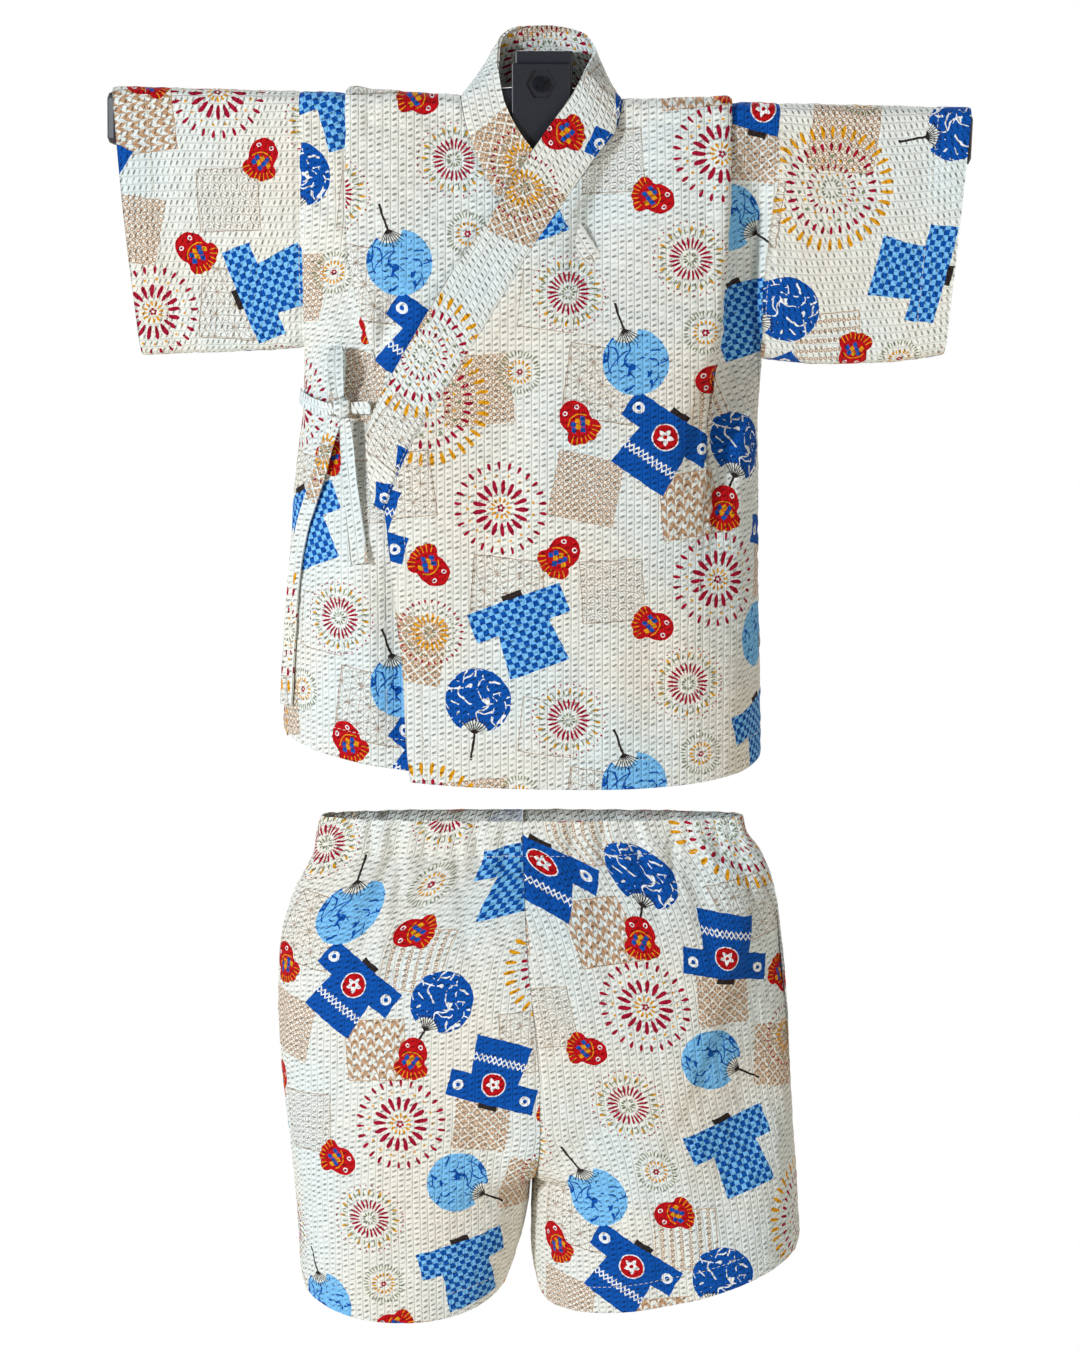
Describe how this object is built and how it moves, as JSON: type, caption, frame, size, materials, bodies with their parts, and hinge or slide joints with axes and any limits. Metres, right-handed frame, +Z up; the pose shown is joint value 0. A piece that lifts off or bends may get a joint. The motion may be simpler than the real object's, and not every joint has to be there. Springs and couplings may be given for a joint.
{
  "type": "jinbei set on a garment hanger",
  "caption": "Child's wrapped cotton jacket with a side tie on a flat hanger bar, with matching elastic-waist shorts below it.",
  "frame": {"origin": "middle of the top face of the hanger's housing, where a rail or hook holds it", "axes": "+Z up, +X towards the wearer's left, -Y towards the front"},
  "size_m": [0.5564, 0.1556, 0.8603],
  "materials": {
    "cloth": "printed ripple cotton",
    "tie": "plain cotton",
    "hanger": "matt black",
    "metal": "satin black"
  },
  "bodies": {
    "root": {"back": "cloth", "collar": "cloth", "front_left": "cloth", "front_right": "cloth", "sleeve_left": "cloth", "sleeve_right": "cloth", "shorts_back_left": "cloth", "shorts_back_right": "cloth", "shorts_front_left": "cloth", "shorts_front_right": "cloth", "tie_knot": "tie", "tie_loop": "tie", "tie_end_long": "tie", "tie_end_short": "tie", "tie_strap_side": "tie", "tie_strap_collar": "tie", "hanger_bar": "hanger", "hanger_housing": "hanger", "hanger_plate": "hanger", "hanger_bolt": "metal"}
  },
  "joints": []
}
